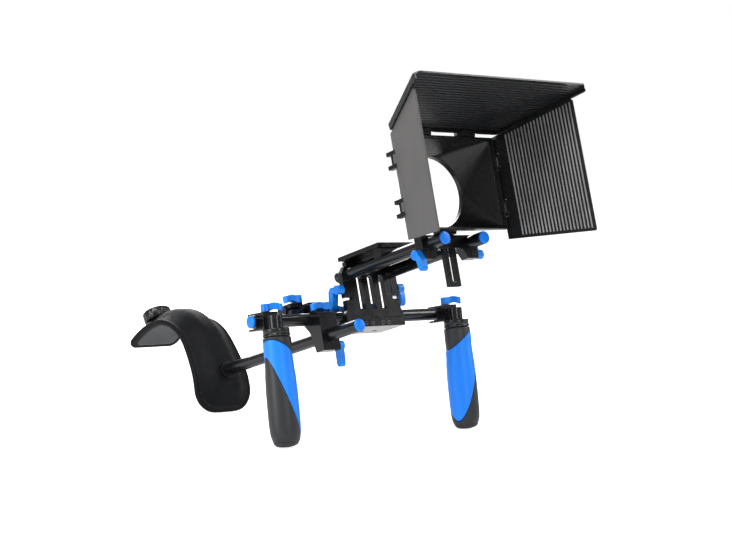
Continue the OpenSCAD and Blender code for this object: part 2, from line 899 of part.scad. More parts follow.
module accessory_clamp() {
    color(black) difference() {
        block([acc_x - acc_w / 2, acc_y - 13, acc_z - acc_half], [acc_x + acc_w / 2, acc_y + 13, acc_z + acc_half]);
        bar_x(-130, -60, acc_y, acc_z, acc_r + fit);
        block([acc_x - 20, acc_y - 20, acc_z - 1.5], [acc_x + 20, acc_y - 2, acc_z + 1.5]);
        bar_z(acc_lever_x, acc_lever_y, acc_z - 5.5, acc_z + 9, stud_hole_r);
    }
}

module accessory_lever() {
    lever_z_up(acc_lever_x, acc_lever_y, acc_z + acc_half + lever_gap, 178, 9, -170, 9);
    color(azure) bar_z(acc_lever_x, acc_lever_y, acc_z - 5.3, acc_z + acc_half + 1, stud_r);
}

/* Shoulder rod and pad */
module shoulder_rod() {
    color(black) tube_y(shoulder_x, shoulder_front + cap_t, shoulder_back, shoulder_z);
}

module shoulder_rod_cap() {
    cap_y(shoulder_x, shoulder_front, shoulder_z, 1);
}

module pad_socket() {
    color(black) difference() {
        bar_y(shoulder_x, shoulder_back - 14, pad_cy - 60, shoulder_z, socket_r);
        bar_y(shoulder_x, shoulder_back - 15, shoulder_back, shoulder_z, rod_r);
        // The socket ends on the pad's stiffening plate
        slab_x(shoulder_x - 20, shoulder_x + 20) pad_core();
    }
}

// Everything under the outside of the stiffening plate, in Y and Z
module pad_core() {
    d = pad_t - lining_t - pad_plate_t;
    translate([pad_cy, pad_cz]) {
        circle(r = pad_r - d, $fn = 160);
        rotate(-pad_lean) translate([d - pad_r, -pad_drop]) square([pad_r, pad_drop]);
    }
}

// One layer of the arched pad in Y and Z, between two depths below its outer face
module pad_layer(d0, d1, short, turn_end) {
    translate([pad_cy, pad_cz]) {
        intersection() {
            difference() {
                circle(r = pad_r - d0, $fn = 160);
                circle(r = pad_r - d1, $fn = 160);
            }
            rotate(-pad_lean) translate([-300, 0]) square([600, 300]);
            translate([-300, -300]) square([300, 600]);
        }
        rotate(-pad_lean) translate([d0 - pad_r, short - pad_drop]) square([d1 - d0, pad_drop - short]);
    }
    intersection() {
        translate([pad_cy, pad_cz + pad_r - pad_rear_r]) difference() {
            circle(r = pad_rear_r - d0, $fn = 200);
            circle(r = pad_rear_r - d1, $fn = 200);
        }
        translate([pad_cy, pad_cz + pad_r - pad_rear_r]) rotate(-turn_end)
            translate([-300, 0]) square([300, 400]);
        translate([pad_cy, pad_cz]) square([300, 300]);
    }
}

module pad_ends() {
    translate(pad_foot) circle(r = pad_end_r);
    translate(rear_tip) circle(r = pad_end_r);
}

// Rounded corners of the pad, seen from the front and from above
module pad_corners(w, low) {
    r = pad_corner;
    slab_y(pad_cy - 120, pad_cy + 120) hull() {
        for (s = [-1, 1]) translate([pad_x + s * (w / 2 - r), low + r]) circle(r = r);
        translate([pad_x - w / 2, low + 60]) square([w, 200]);
    }
}

module pad_tail(w, back) {
    r = pad_tail_corner;
    translate([0, 0, pad_cz - 100]) linear_extrude(200) hull() {
        for (s = [-1, 1]) translate([pad_x + s * (w / 2 - r), back - r]) circle(r = r);
        translate([pad_x - w / 2, pad_cy - 120]) square([w, 100]);
    }
}

module pad_cushion() {
    color(black) difference() {
        intersection() {
            slab_x(pad_x - pad_w / 2, pad_x + pad_w / 2) difference() {
                union() {
                    pad_layer(0, pad_t, 0, pad_rear_turn);
                    pad_ends();
                }
                pad_layer(pad_t - lining_t, pad_t + 1, pad_rim, pad_rear_turn - 3);
            }
            pad_corners(pad_w, pad_foot[1] - pad_end_r);
            pad_tail(pad_w, rear_tip[0] + pad_end_r);
        }
        slab_x(pad_x - pad_w / 2 + pad_rim, pad_x + pad_w / 2 - pad_rim)
            pad_layer(pad_t - lining_t - pad_plate_t, pad_t - 0.5, pad_rim + 4, pad_rear_turn - 5);
        bar_y(shoulder_x, shoulder_back, pad_cy - 60, shoulder_z, socket_r);
    }
    // Raised middle of the cushion
    color(black) difference() {
        slab_x(pad_x - pad_w / 2 + 13, pad_x + pad_w / 2 - 13) pad_layer(-pad_crown, 1, 18, pad_rear_turn - 5);
        bar_y(shoulder_x, shoulder_back, pad_cy - 60, shoulder_z, socket_r);
    }
}

module pad_plate() {
    color(steel) slab_x(pad_x - pad_w / 2 + pad_rim, pad_x + pad_w / 2 - pad_rim)
        pad_layer(pad_t - lining_t - pad_plate_t, pad_t - lining_t, pad_rim + 4, pad_rear_turn - 5);
}

module pad_lining() {
    color(grey) intersection() {
        slab_x(pad_x - pad_w / 2, pad_x + pad_w / 2)
            pad_layer(pad_t - lining_t, pad_t, pad_rim, pad_rear_turn - 3);
        pad_corners(pad_w, pad_foot[1] - pad_end_r);
        pad_tail(pad_w, rear_tip[0] + pad_end_r);
    }
}

module pad_knob() {
    color(black) translate([pad_x, pad_cy, pad_cz + pad_r - pad_rear_r]) rotate([-pad_knob_turn, 0, 0])
        difference() {
            union() {
                translate([0, 0, pad_rear_r]) cylinder(r = 11, h = pad_knob_neck + 1);
                translate([0, 0, pad_rear_r + pad_knob_neck]) cylinder(r = pad_knob_r, h = pad_knob_h - pad_knob_neck);
            }
            slab_x(-40, 40) circle(r = pad_rear_r + pad_crown, $fn = 200);
        }
}

stand() riser_bracket();
stand() riser_screws();
stand() riser_lever_left();
stand() riser_lever_right();
stand() rod_lock_lever_left();
stand() rod_lock_lever_right();
stand() rail_left();
stand() rail_right();
stand() rail_caps();
stand() plate_base();
stand() camera_plate();
stand() plate_mat();
stand() camera_screw();
stand() matte_clamp();
stand() matte_lever_left();
stand() matte_stud_left();
stand() matte_lever_right();
stand() matte_stud_right();
stand() matte_post();
stand() post_bolt();
stand() matte_frame();
stand() lens_ring();
stand() hinge_brackets();
stand() hinge_pins();
stand() top_flap();
stand() left_flap();
stand() right_flap();
stand() cross_rod();
stand() cross_rod_caps();
stand() left_clamp();
stand() left_clamp_lever();
stand() left_clamp_stud();
stand() left_grip_core();
stand() left_grip();
stand() left_grip_inlay();
stand() left_grip_end();
stand() right_clamp();
stand() right_clamp_lever();
stand() right_clamp_stud();
stand() right_grip_core();
stand() right_grip();
stand() right_grip_inlay();
stand() right_grip_end();
stand() offset_clamp();
stand() offset_top_lever();
stand() offset_top_stud();
stand() offset_side_lever();
stand() offset_side_stud();
stand() accessory_rod();
stand() accessory_clamp();
stand() accessory_lever();
stand() shoulder_rod();
stand() shoulder_rod_cap();
stand() pad_socket();
stand() pad_plate();
stand() pad_cushion();
stand() pad_lining();
stand() pad_knob();
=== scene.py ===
"""Looks for the shoulder-mounted camera rig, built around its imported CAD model."""
import json
import math

import bmesh
import bpy
from mathutils import Matrix, Vector, noise


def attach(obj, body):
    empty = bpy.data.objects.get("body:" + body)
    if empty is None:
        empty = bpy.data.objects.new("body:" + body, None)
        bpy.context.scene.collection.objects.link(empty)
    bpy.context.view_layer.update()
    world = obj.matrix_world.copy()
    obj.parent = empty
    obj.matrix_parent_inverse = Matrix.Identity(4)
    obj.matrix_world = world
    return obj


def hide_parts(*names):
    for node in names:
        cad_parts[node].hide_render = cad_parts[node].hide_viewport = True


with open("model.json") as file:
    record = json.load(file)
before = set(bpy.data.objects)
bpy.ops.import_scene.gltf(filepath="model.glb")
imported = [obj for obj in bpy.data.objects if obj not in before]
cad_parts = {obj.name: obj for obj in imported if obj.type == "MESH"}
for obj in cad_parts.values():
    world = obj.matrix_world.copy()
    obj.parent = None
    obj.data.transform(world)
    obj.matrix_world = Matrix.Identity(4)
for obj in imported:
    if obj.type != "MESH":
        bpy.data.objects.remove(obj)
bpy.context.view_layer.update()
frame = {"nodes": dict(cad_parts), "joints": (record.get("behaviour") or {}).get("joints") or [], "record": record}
MM = 0.001

# ---------------------------------------------------------------- rig axes
# Every size below is in millimetres in the rig's own level axes: X to the right, Y aft along the
# rails from their front caps, Z up from the rail axes. The frame's joints say where those axes are.
JOINTS = {j["name"]: j for j in frame["joints"]}
AFT = Vector(JOINTS["shoulder_slide"]["axis"])
UP = Vector(JOINTS["matte_height_slide"]["axis"])
RIGHT = AFT.cross(UP)
CROSS_Y, CROSS_Z, ARM_X = 187.0, -51.0, -78.5
_anchor = Vector(JOINTS["offset_arm_tilt"]["pos_m"])
_origin = _anchor - MM * (ARM_X * RIGHT + CROSS_Y * AFT + CROSS_Z * UP)
AXES = Matrix((RIGHT, AFT, UP)).transposed().to_4x4()
RIG = Matrix.Translation(_origin) @ AXES
TO_ROW = RIG @ Matrix.Scale(MM, 4)

# ---------------------------------------------------------------- camera, floor and lights
CAMERA_AT = Vector((-1289.5, -1334.6, -336.9))
CAMERA_AZ, CAMERA_EL, CAMERA_ROLL = (math.radians(a) for a in (-40.39, -9.59, -9.41))
LENS = 82.7
LIT_POINT = (0, 150, 0)
WORLD_LIGHT = 0.3
FLOOR_HALF = 12.0
# Name, place in rig millimetres, size in metres and power in watts
LIGHTS = (
    ("key", (-1300, -700, 1400), (0.6, 1.0), 23),
    ("side", (-1700, 250, 250), (0.4, 1.6), 14),
    ("right", (1300, -900, 700), (0.3, 1.5), 13),
    ("rim", (600, 1300, 1000), (1.2, 0.7), 16),
    ("front", (-350, -1700, 300), (0.22, 1.5), 8),
)


def make_camera():
    back = Vector((math.sin(CAMERA_AZ) * math.cos(CAMERA_EL),
                   -math.cos(CAMERA_AZ) * math.cos(CAMERA_EL), math.sin(CAMERA_EL)))
    side = Vector((math.cos(CAMERA_AZ), math.sin(CAMERA_AZ), 0))
    up = back.cross(side)
    cam_x = math.cos(CAMERA_ROLL) * side + math.sin(CAMERA_ROLL) * up
    cam_y = -math.sin(CAMERA_ROLL) * side + math.cos(CAMERA_ROLL) * up
    turn = Matrix((cam_x, cam_y, back)).transposed().to_4x4()
    cam = bpy.data.objects.new("camera", bpy.data.cameras.new("camera"))
    cam.data.lens = LENS
    cam.data.sensor_width = 36
    cam.data.clip_start, cam.data.clip_end = 0.05, 50
    cam.matrix_world = Matrix.Translation(TO_ROW @ CAMERA_AT) @ AXES @ turn
    bpy.context.scene.collection.objects.link(cam)
    bpy.context.scene.camera = cam


def area_light(name, place, target, size, power):
    light = bpy.data.lights.new(name, "AREA")
    light.shape = "RECTANGLE"
    light.size, light.size_y = size
    light.energy = power
    obj = bpy.data.objects.new(name, light)
    obj.location = place
    obj.rotation_mode = "QUATERNION"
    obj.rotation_quaternion = (Vector(target) - Vector(place)).to_track_quat("-Z", "Y")
    bpy.context.scene.collection.objects.link(obj)


def make_studio():
    """A white backdrop that lights the rig only softly, a pale floor and five soft lights."""
    scene = bpy.context.scene
    scene.view_settings.view_transform = "Standard"
    world = bpy.data.worlds.new("studio")
    world.use_nodes = True
    tree = world.node_tree
    lit, seen = tree.nodes["Background"], tree.nodes.new("ShaderNodeBackground")
    lit.inputs["Color"].default_value = seen.inputs["Color"].default_value = (1, 1, 1, 1)
    lit.inputs["Strength"].default_value = WORLD_LIGHT
    path = tree.nodes.new("ShaderNodeLightPath")
    mix = tree.nodes.new("ShaderNodeMixShader")
    tree.links.new(path.outputs["Is Camera Ray"], mix.inputs[0])
    tree.links.new(lit.outputs[0], mix.inputs[1])
    tree.links.new(seen.outputs[0], mix.inputs[2])
    tree.links.new(mix.outputs[0], tree.nodes["World Output"].inputs["Surface"])
    scene.world = world
    mesh = bpy.data.meshes.new("floor")
    corners = ((-1, -1), (1, -1), (1, 1), (-1, 1))
    mesh.from_pydata([(x * FLOOR_HALF, y * FLOOR_HALF, 0) for x, y in corners], [], [(0, 1, 2, 3)])
    floor = bpy.data.objects.new("floor", mesh)
    scene.collection.objects.link(floor)
    white = bpy.data.materials.new("floor_white")
    white.use_nodes = True
    nodes, links = white.node_tree.nodes, white.node_tree.links
    shader = nodes["Principled BSDF"]
    shader.inputs["Base Color"].default_value = (0.9, 0.9, 0.9, 1)
    shader.inputs["Roughness"].default_value = 0.9
    shader.inputs["Emission Color"].default_value = (1, 1, 1, 1)
    # The floor glows more away from the rig, so that it fades into the backdrop
    place = nodes.new("ShaderNodeTexCoord")
    far = nodes.new("ShaderNodeVectorMath")
    far.operation = "LENGTH"
    glow = nodes.new("ShaderNodeMapRange")
    for key, number in (("From Min", 0.3), ("From Max", 1.6), ("To Min", 0.8), ("To Max", 1.0)):
        glow.inputs[key].default_value = number
    rays = nodes.new("ShaderNodeLightPath")
    shown = nodes.new("ShaderNodeMath")
    shown.operation = "MULTIPLY"
    links.new(place.outputs["Object"], far.inputs[0])
    links.new(far.outputs["Value"], glow.inputs["Value"])
    links.new(glow.outputs["Result"], shown.inputs[0])
    links.new(rays.outputs["Is Camera Ray"], shown.inputs[1])
    links.new(shown.outputs[0], shader.inputs["Emission Strength"])
    mesh.materials.append(white)
    middle = TO_ROW @ Vector(LIT_POINT)
    for name, place, size, power in LIGHTS:
        area_light(name, TO_ROW @ Vector(place), middle, size, power)


make_camera()
make_studio()

# ---------------------------------------------------------------- materials


class Nodes:
    """A small helper that adds and links shader nodes."""

    def __init__(self, name):
        self.material = bpy.data.materials.new(name)
        self.material.use_nodes = True
        self.tree = self.material.node_tree
        self.shader = self.tree.nodes["Principled BSDF"]
        self.place = self.add("ShaderNodeTexCoord").outputs["Object"]

    def add(self, kind, **inputs):
        node = self.tree.nodes.new(kind)
        for key, value in inputs.items():
            self.put(node, key.replace("_", " "), value)
        return node

    def put(self, node, key, value):
        socket = node.inputs[key] if not key.isdigit() else node.inputs[int(key)]
        if isinstance(value, bpy.types.NodeSocket):
            self.tree.links.new(value, socket)
        else:
            socket.default_value = value

    def noise(self, scale, detail=4.0, rough=0.5):
        node = self.add("ShaderNodeTexNoise", Vector=self.place, Scale=scale, Detail=detail,
                        Roughness=rough)
        return node.outputs["Fac"]

    def ramp(self, value, low, high, low_at=0.3, high_at=0.7):
        node = self.add("ShaderNodeMapRange")
        for key, number in zip(("From Min", "From Max", "To Min", "To Max"),
                               (low_at, high_at, low, high)):
            node.inputs[key].default_value = number
        self.put(node, "Value", value)
        return node.outputs["Result"]

    def mix(self, share, a, b):
        node = self.add("ShaderNodeMix")
        node.data_type = "RGBA"
        self.put(node, "Factor", share)
        for socket, value in ((node.inputs[6], a), (node.inputs[7], b)):
            if isinstance(value, bpy.types.NodeSocket):
                self.tree.links.new(value, socket)
            else:
                socket.default_value = (*value, 1)
        return node.outputs[2]

    def maths(self, operation, a, b=0.0):
        node = self.add("ShaderNodeMath")
        node.operation = operation
        self.put(node, "0", a)
        self.put(node, "1", b)
        return node.outputs[0]

    def bump(self, height, distance, strength=1.0, normal=None):
        node = self.add("ShaderNodeBump", Height=height, Distance=distance, Strength=strength)
        if normal:
            self.put(node, "Normal", normal)
        return node.outputs["Normal"]

    def rounded(self, radius):
        node = self.add("ShaderNodeBevel", Radius=radius)
        node.samples = 4
        return node.outputs["Normal"]


def finish_material(n, colour, rough, normal, **fixed):
    n.put(n.shader, "Base Color", colour)
    n.put(n.shader, "Roughness", rough)
    n.put(n.shader, "Normal", normal)
    for key, value in fixed.items():
        n.put(n.shader, key.replace("_", " "), value)
    return n.material


def metal(name, colour, rough, grain, metallic=0.6, edge=0.0006, edge_wear_and_highlight=None, **fixed):
    """Machined and anodised metal: fine grain, cloudy gloss and softened edges."""
    n = Nodes(name)
    cloud = n.noise(60, 3)
    fine = n.noise(grain, 2)
    base = n.mix(n.ramp(cloud, 0, 1), [c * 0.8 for c in colour], [min(1, c * 1.2) for c in colour])
    soft = n.rounded(edge)
    # Lighter edges in noisy patches: part wear, part a painted highlight along the edges.
    if edge_wear_and_highlight:
        facing = n.add("ShaderNodeVectorMath")
        facing.operation = "DOT_PRODUCT"
        n.tree.links.new(soft, facing.inputs[0])
        n.tree.links.new(n.add("ShaderNodeNewGeometry").outputs["Normal"], facing.inputs[1])
        worn_and_lit_edge_mask = n.ramp(facing.outputs["Value"], 1, 0, 0.86, 0.97)
        base = n.mix(n.maths("MULTIPLY", worn_and_lit_edge_mask, n.ramp(n.noise(300), 0.2, 0.8)), base, edge_wear_and_highlight)
    gloss = n.ramp(cloud, rough - 0.03, rough + 0.04)
    return finish_material(n, base, gloss, n.bump(fine, 0.00001, 0.3, soft), Metallic=metallic,
                           **fixed)


def moulded(name, colour, rough, grain, depth=0.00006, spread=0.15, edge=0.0008, **fixed):
    """Moulded plastic or rubber: an even fine texture, with a little unevenness in tone."""
    n = Nodes(name)
    cloud = n.noise(25, 4)
    fine = n.noise(grain, 3, 0.6)
    base = n.mix(n.ramp(cloud, 0, 1), [c * (1 - spread) for c in colour],
                 [min(1, c * (1 + spread)) for c in colour])
    gloss = n.ramp(n.noise(220, 3), rough - 0.015, rough + 0.02)
    return finish_material(n, base, gloss, n.bump(fine, depth, 0.5, n.rounded(edge)), **fixed)


# The edge colours given below are part wear, part painted edge highlight.
BLACK_METAL = metal("anodised_black_finish", (0.0065, 0.007, 0.0085), 0.21, 2500, 0.2,
                    edge_wear_and_highlight=(0.05, 0.05, 0.056), Coat_Weight=0.25, Coat_Roughness=0.12)
AZURE = (0.0, 0.235, 1.0)
BLUE_METAL = metal("anodised_blue_finish", AZURE, 0.34, 1800, 0.1, edge_wear_and_highlight=(0.02, 0.3, 1.0),
                   Coat_Weight=0.25, Coat_Roughness=0.2)
STEEL = metal("steel_finish", (0.4, 0.4, 0.42), 0.28, 2200, 1.0)
DARK_STEEL = metal("dark_steel_finish", (0.09, 0.09, 0.097), 0.3, 2200, 0.9)
RIB_PLASTIC = moulded("rib_plastic_finish", (0.014, 0.015, 0.017), 0.38, 1400, 0.000005)
# Side-flap ribs in pale grey: a painted highlight for the light lines on their crests; the top flap's ribs keep
# the black.
RIB_PAINTED_HIGHLIGHT = moulded("rib_painted_highlight_finish", (0.3, 0.3, 0.302), 0.35, 1400, 0.00002, 0.3)
FLAP_PLASTIC = moulded("black_plastic_finish", (0.0065, 0.007, 0.008), 0.28, 1400, 0.00001)
# Painted light: the left flap gets a lighter grey than the black plastic of the other flaps, for grazing light on
# that side.
FLAP_PAINTED_LIGHT = moulded("flap_painted_light_finish", (0.085, 0.082, 0.08), 0.5, 1400, 0.00004, 0.08)
MAT_RUBBER = moulded("mat_rubber_finish", (0.02, 0.02, 0.021), 0.7, 900, 0.00015)
BLACK_RUBBER = moulded("black_rubber_finish", (0.021, 0.022, 0.025), 0.42, 1500, 0.00006)
BLUE_RUBBER = moulded("blue_rubber_finish", AZURE, 0.42, 1700, 0.00004, 0.04)
BLUE_PLASTIC = moulded("blue_plastic_finish", AZURE, 0.3, 1500, 0.00002, 0.03)
FINISH = {"anodised_black": BLACK_METAL, "anodised_blue": BLUE_METAL, "steel": STEEL,
          "black_plastic": FLAP_PLASTIC, "mat_rubber": MAT_RUBBER, "black_rubber": BLACK_RUBBER,
          "blue_rubber": BLUE_RUBBER, "blue_plastic": BLUE_PLASTIC}


def woven(name, colour, pitch, depth, rough, spread=0.2, **fixed):
    """Knitted cloth over foam: two crossed rows of small loops, with cloudy tone."""
    n = Nodes(name)
    rows = []
    for turned in (0.6, -0.6):
        mapping = n.add("ShaderNodeMapping", Vector=n.place)
        mapping.inputs["Rotation"].default_value = (turned, turned, turned)
        wave = n.add("ShaderNodeTexWave", Vector=mapping.outputs["Vector"], Scale=pitch,
                     Distortion=0.6, Detail=1.0)
        rows.append(wave.outputs["Fac"])
    loops = n.maths("MULTIPLY", rows[0], rows[1])
    base = n.mix(n.ramp(n.noise(30, 4), 0, 1), [c * (1 - spread) for c in colour],
                 [min(1, c * (1 + spread)) for c in colour])
    gloss = n.ramp(n.noise(120, 3), rough - 0.04, rough + 0.05)
    return finish_material(n, base, gloss, n.bump(loops, depth, 0.6), **fixed)


NEOPRENE = woven("neoprene_finish", (0.0024, 0.0028, 0.0039), 260, 0.0002, 0.65, Sheen_Weight=0.02,
                 Sheen_Roughness=0.4, Specular_IOR_Level=0.2)
THREAD = woven("thread_finish", (0.03, 0.03, 0.034), 900, 0.0001, 0.6)
LINING = woven("lining_finish", (0.09, 0.093, 0.095), 300, 0.0001, 0.85, 0.06)
FINISH["neoprene"], FINISH["lining_fabric"] = NEOPRENE, LINING
SLOTS = {s["node"]: s["material_slot"] for s in frame["record"]["subparts"]}
for node, obj in frame["nodes"].items():
    obj.data.materials.clear()
    # The left flap takes the lighter grey of painted light.
    obj.data.materials.append({"left_flap": FLAP_PAINTED_LIGHT, "riser_screws": DARK_STEEL}
                              .get(node, FINISH[SLOTS[node]]))


# ---------------------------------------------------------------- pieces
BODY_OF = {n: body for body, nodes in frame["record"]["behaviour"]["bodies"].items()
           for n in nodes}


def piece(name, bm, material, body, nodes=(), bevel=0.0, segments=2, place=None, levels=0):
    """Make a piece from a bmesh drawn in rig millimetres (or in the axes of `place`)."""
    bmesh.ops.recalc_face_normals(bm, faces=bm.faces)
    bm.transform(TO_ROW @ place if place else TO_ROW)
    mesh = bpy.data.meshes.new(name)
    bm.to_mesh(mesh)
    bm.free()
    obj = bpy.data.objects.new(name, mesh)
    bpy.context.scene.collection.objects.link(obj)
    mesh.materials.append(material)
    for face in mesh.polygons:
        face.use_smooth = True
    if bevel:
        rounding = obj.modifiers.new("rounding", "BEVEL")
        rounding.width, rounding.segments = bevel * MM, segments
        rounding.limit_method, rounding.angle_limit = "ANGLE", math.radians(38)
        rounding.harden_normals = True
    if levels:
        finer = obj.modifiers.new("finer", "SUBSURF")
        finer.levels = finer.render_levels = levels
    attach(obj, body)
    if nodes:
        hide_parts(*nodes)
    return obj


def rings(bm, loops):
    """Join closed loops of points, each the same length, into a skin with capped ends."""
    rows = [[bm.verts.new(p) for p in loop] for loop in loops]
    count = len(rows[0])
    for low, high in zip(rows, rows[1:]):
        for i in range(count):
            j = (i + 1) % count
            bm.faces.new((low[i], low[j], high[j], high[i]))
    bm.faces.new(rows[0])
    bm.faces.new(rows[-1])


def lathe(bm, profile, centre, axis, steps=40):
    """Turn a profile of (radius, distance) about an axis through `centre`."""
    axis = Vector(axis).normalized()
    side = axis.orthogonal().normalized()
    other = axis.cross(side)
    loops = []
    for radius, along in profile:
        loops.append([Vector(centre) + axis * along + radius * (
            math.cos(a) * side + math.sin(a) * other)
            for a in (2 * math.pi * i / steps for i in range(steps))])
    rings(bm, loops)


# Thumb levers: a round head on the stud, a neck, and a bent paddle that rises and droops again.
HEAD = 5.6
LEVER_DEEP = 9.4
GAP = 0.3


def lever_path(a1, l1, a2, l2):
    """Points along a lever's middle line, from behind its head to the tip of its paddle."""
    first = Vector((math.cos(math.radians(a1)), math.sin(math.radians(a1))))
    second = Vector((math.cos(math.radians(a2)), math.sin(math.radians(a2))))
    bend = first * l1
    total = l1 + l2
    points = []
    for i in range(25):
        along = -HEAD + (total + 3.0 + HEAD) * i / 24
        soft = 3.5
        if along <= l1 - soft:
            p, d = first * along, first
        elif along >= l1 + soft:
            p, d = bend + second * (along - l1), second
        else:
            t = (along - l1 + soft) / (2 * soft)
            start, end = first * (l1 - soft), bend + second * soft
            p = (1 - t) ** 2 * start + 2 * t * (1 - t) * bend + t * t * end
            d = ((1 - t) * first + t * second).normalized()
        points.append((along, p, d))
    return points, total


def lever(node, place, a1, l1, a2, l2, arch=1.4):
    points, total = lever_path(a1, l1, a2, l2)
    loops = []
    for along, p, d in points:
        t = max(0.0, min(1.0, (along - HEAD * 0.6) / (total + 3 - HEAD * 0.6)))
        head = math.sqrt(max(0.0, HEAD ** 2 - along ** 2)) if along < HEAD else 0.0
        paddle = 3.5 + 0.8 * math.sin(math.pi * min(1, t * 1.1)) if along > 0 else 0.0
        if along > total:
            paddle *= math.sqrt(max(0.05, 1 - ((along - total) / 3.2) ** 2))
        half = max(head, paddle, 0.9)
        lift = arch * math.sin(math.pi * min(1.0, t * 1.15)) if t > 0 else 0.0
        low, high = lift * 1.1, LEVER_DEEP + lift * 0.8 - 0.8 * min(1.0, t * 2)
        n = Vector((-d.y, d.x))
        left, right = p + n * half, p - n * half
        loops.append([(left.x, left.y, low), (right.x, right.y, low),
                      (right.x, right.y, high), (left.x, left.y, high)])
    bm = bmesh.new()
    rings(bm, loops)
    piece(node + "_paddle", bm, BLUE_METAL, BODY_OF[node], (node,), 1.1, 3,
          place=place)


def along_x(x, y, z):
    """Lever axes whose plane is Y and Z, deep towards +X."""
    return Matrix(((0, 0, 1, x), (1, 0, 0, y), (0, 1, 0, z), (0, 0, 0, 1)))


def upright(x, y, z):
    return Matrix.Translation((x, y, z))


GRIP_SWING = math.radians(6)
GRIP_X = {"left": -157.5, "right": 118.5}


def on_rod(x):
    return Matrix.Translation((x, CROSS_Y, CROSS_Z)) @ Matrix.Rotation(GRIP_SWING, 4, "X")


JAW_X = 42.0
lever("riser_lever_left", along_x(-JAW_X - GAP - LEVER_DEEP, 179, -18.5), 8, 11, -78, 20, 0.6)
lever("riser_lever_right", along_x(JAW_X + GAP, 179, -18.5), -92, 5, -90, 14, 0.6)
lever("rod_lock_lever_left", upright(-24, 212, -41.7), -150, 10, 178, 14)
lever("rod_lock_lever_right", upright(28, 212, -41.7), -115, 10, 178, 14)
lever("matte_lever_left", along_x(-JAW_X - GAP - LEVER_DEEP, 34, -12.3), -140, 6, -104, 13, 0.6)
lever("matte_lever_right", along_x(JAW_X + GAP, 34, -12.3), 40, 7, 80, 8, 0.6)
lever("offset_top_lever", upright(-69.5, 180.8, -42), 170, 9, -176, 9, 2.0)
lever("offset_side_lever", along_x(-65.7, 177, -85), -78, 8, -90, 14, 0.6)
lever("accessory_lever", upright(-95, 199, -28.7), 178, 9, -170, 9, 2.0)
for _side, _x in GRIP_X.items():
    lever(_side + "_clamp_lever", on_rod(_x) @ upright(0, -6.2, 10.3), -20, 8, -48, 9, 2.2)

# Domed rod ends
ROD = 7.2
CAP_PROFILE = ((5.4, 9.4), (5.4, 3.6), (6.9, 3.5), (7.1, 3.2), (ROD, 2.6), (ROD, 1.5), (6.9, 0.8),
               (6.2, 0.42), (5.0, 0.2), (3.0, 0.06), (1.2, 0.0))


def rod_caps(node, ends, rear=()):
    bm = bmesh.new()
    for centre, inward in ends:
        lathe(bm, CAP_PROFILE, centre, inward, 36)
    piece(node + "_domed", bm, BLUE_PLASTIC, BODY_OF[node], (node,))
    if rear:
        bm = bmesh.new()
        for centre, inward in rear:
            lathe(bm, CAP_PROFILE, centre, inward, 36)
        piece(node + "_rear", bm, FLAP_PLASTIC, BODY_OF[node])


RAIL_LEN, CROSS_ENDS = 197.0, (-177.5, 128.0)
rod_caps("rail_caps", [((x, 0, 0), (0, 1, 0)) for x in (-30, 30)],
         [((x, RAIL_LEN, 0), (0, -1, 0)) for x in (-30, 30)])
rod_caps("cross_rod_caps", [((CROSS_ENDS[0], CROSS_Y, CROSS_Z), (1, 0, 0)),
                            ((CROSS_ENDS[1], CROSS_Y, CROSS_Z), (-1, 0, 0))])
rod_caps("shoulder_rod_cap", [((ARM_X, 112, -73.4), (0, 1, 0))])


# Grips: a rubber sleeve with a sunken seat, and a raised coloured palm insert that wraps round it.
# Shapes are (depth below the boss, radius), and profiles (radius, depth).
GRIP_SHAPE = ((9, 16.1), (20, 16.3), (32, 16.0), (44, 16.5), (58, 17.5), (74, 17.95), (92, 18.0),
              (108, 17.9), (117, 17.5), (123, 16.7), (127, 15.6), (129, 14.4))
SLEEVE_TOP, SLEEVE_END = 10.2, 129.0
COLLAR_PROFILE = ((9, 0.0), (14.2, 0.0), (15.1, 0.4), (15.4, 1.2), (15.4, 5.6), (15.1, 5.9),
                  (15.1, 6.2), (15.5, 6.5), (15.8, 8.6), (15.5, 9.4), (11, 9.9))
CORE_PROFILE = ((8.6, 9.0), (8.6, 60), (8.6, 131))
FOOT_PROFILE = ((9, 128.6), (13.9, 128.7), (14.3, 129.2), (13.6, 130.6), (12.2, 131.8),
                (10.2, 132.7), (7.6, 133.4), (4.6, 133.8), (1.5, 134.0))


def grip_radius(depth):
    for (d0, r0), (d1, r1) in zip(GRIP_SHAPE, GRIP_SHAPE[1:]):
        if depth <= d1:
            t = (depth - d0) / (d1 - d0)
            t = t * t * (3 - 2 * t) if d1 < 117 else t
            return r0 + (r1 - r0) * t
    return GRIP_SHAPE[-1][1]


def inlay_top(phi):
    return 25 + 12 * math.cos(phi - math.radians(110))


def inlay_end(phi):
    return 78 + 46 * math.cos(phi - math.radians(75))


def grip_point(phi, depth, radius, mirror):
    """A point on a grip: phi is 0 in front and 90 degrees on the side towards the rails."""
    return (mirror * radius * math.sin(phi), -radius * math.cos(phi), -depth)


